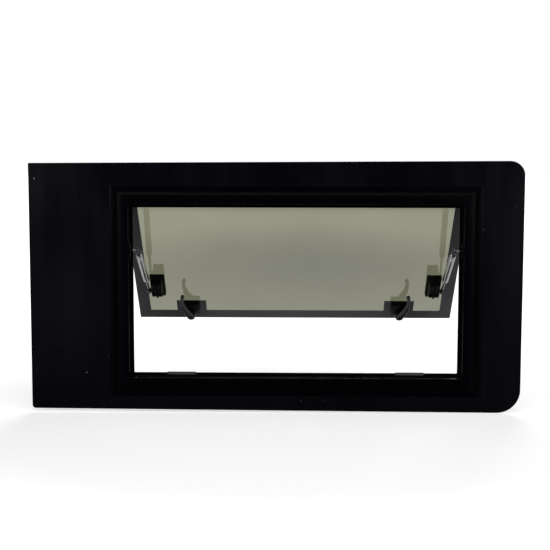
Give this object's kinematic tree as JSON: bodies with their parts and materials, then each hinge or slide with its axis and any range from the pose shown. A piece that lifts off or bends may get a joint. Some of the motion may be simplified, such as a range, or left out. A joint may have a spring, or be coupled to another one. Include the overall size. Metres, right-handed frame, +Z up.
{
  "type": "top-hung window with carrier panel",
  "caption": "Top-hung van window: black carrier panel, mitred frame and tinted outward-opening flap with gas struts and turning latches.",
  "frame": {"origin": "centre of the opening, on the indoor face of the carrier panel, which is the face that is bonded to the vehicle", "axes": "+X to the right seen from indoors, +Y outdoors, +Z up; the flap is open 42 degrees at rest"},
  "size_m": [1.16, 0.33, 0.5955],
  "materials": {
    "panel_black": "semi-gloss moulded",
    "frame_black": "satin powder coat",
    "key_zinc": "die cast",
    "seal_rubber": "matt",
    "screw_black": "black zinc",
    "tinted_glass": "tinted, toughened",
    "print_grey": "screen-printed border",
    "hardware_black": "fine-grained moulding",
    "socket_graphite": "satin",
    "tube_silver": "satin silver",
    "rod_chrome": "polished",
    "latch_steel": "dull zinc",
    "keeper_grey": "light grey"
  },
  "bodies": {
    "window_frame": {"carrier_panel": "panel_black", "clamp_rail_bottom": "frame_black", "clamp_rail_left": "frame_black", "clamp_rail_right": "frame_black", "clamp_rail_top": "frame_black", "corner_keys": "key_zinc", "flange_sealing_tape": "seal_rubber", "frame_ball_stud_left": "rod_chrome", "frame_ball_stud_right": "rod_chrome", "frame_rail_bottom": "frame_black", "frame_rail_left": "frame_black", "frame_rail_right": "frame_black", "frame_rail_top": "frame_black", "frame_screws": "screw_black", "groove_gasket": "seal_rubber", "hinge_end_stops": "frame_black", "hinge_rail": "frame_black", "hinge_rail_screws": "screw_black", "keeper_rivets": "keeper_grey", "latch_keeper_left": "keeper_grey", "latch_keeper_right": "keeper_grey", "strut_bracket_screws": "screw_black", "strut_frame_bracket_left": "hardware_black", "strut_frame_bracket_right": "hardware_black", "weather_seal": "seal_rubber"},
    "flap": {"glass_pane": "tinted_glass", "printed_border": "print_grey", "hinge_profile": "frame_black", "flap_bracket_base_left": "hardware_black", "flap_bracket_base_right": "hardware_black", "flap_bracket_left": "hardware_black", "flap_bracket_right": "hardware_black", "flap_bracket_screws": "screw_black", "latch_base_left": "hardware_black", "latch_base_right": "hardware_black", "latch_base_screws": "screw_black", "latch_housing_left": "hardware_black", "latch_housing_right": "hardware_black"},
    "strut_cylinder_left": {"strut_tube_left": "tube_silver", "strut_guide_left": "key_zinc", "frame_socket_left": "socket_graphite"},
    "strut_piston_rod_left": {"strut_rod_left": "rod_chrome", "strut_piston_left": "key_zinc", "rod_socket_left": "socket_graphite", "rod_ball_stud_left": "rod_chrome"},
    "latch_left": {"latch_spindle_left": "latch_steel", "latch_tongue_left": "latch_steel", "latch_lever_left": "hardware_black", "lever_screw_left": "screw_black"},
    "strut_cylinder_right": {"strut_tube_right": "tube_silver", "strut_guide_right": "key_zinc", "frame_socket_right": "socket_graphite"},
    "strut_piston_rod_right": {"strut_rod_right": "rod_chrome", "strut_piston_right": "key_zinc", "rod_socket_right": "socket_graphite", "rod_ball_stud_right": "rod_chrome"},
    "latch_right": {"latch_spindle_right": "latch_steel", "latch_tongue_right": "latch_steel", "latch_lever_right": "hardware_black", "lever_screw_right": "screw_black"}
  },
  "joints": [
    {"name": "flap_hinge", "type": "hinge", "parent": "window_frame", "child": "flap", "pos_m": [0, 0.02, 0.2254], "axis": [1, 0, 0], "range_deg": [-42, 0]},
    {"name": "strut_swing_left", "type": "hinge", "parent": "window_frame", "child": "strut_cylinder_left", "pos_m": [-0.372, 0.007, 0.095], "axis": [1, 0, 0], "range_deg": [-63.51, 0]},
    {"name": "strut_slide_left", "type": "slide", "parent": "strut_cylinder_left", "child": "strut_piston_rod_left", "axis": [0, 0.8638, -0.5039], "range_m": [-0.05303, 0]},
    {"name": "strut_swing_right", "type": "hinge", "parent": "window_frame", "child": "strut_cylinder_right", "pos_m": [0.372, 0.007, 0.095], "axis": [1, 0, 0], "range_deg": [-63.51, 0]},
    {"name": "strut_slide_right", "type": "slide", "parent": "strut_cylinder_right", "child": "strut_piston_rod_right", "axis": [0, 0.8638, -0.5039], "range_m": [-0.05303, 0]},
    {"name": "latch_turn_left", "type": "hinge", "parent": "flap", "child": "latch_left", "pos_m": [-0.271, 0.28944, -0.07832], "axis": [0, 0.7431, 0.6691], "range_deg": [0, 90]},
    {"name": "latch_turn_right", "type": "hinge", "parent": "flap", "child": "latch_right", "pos_m": [0.271, 0.28944, -0.07832], "axis": [0, -0.7431, -0.6691], "range_deg": [0, 90]}
  ],
  "couplings": [
    {"joint": "strut_swing_left", "follows": "flap_hinge", "ratio": 1.5119},
    {"joint": "strut_slide_left", "follows": "flap_hinge", "m_per_rad": 0.072332},
    {"joint": "strut_swing_right", "follows": "flap_hinge", "ratio": 1.5119},
    {"joint": "strut_slide_right", "follows": "flap_hinge", "m_per_rad": 0.072332}
  ]
}
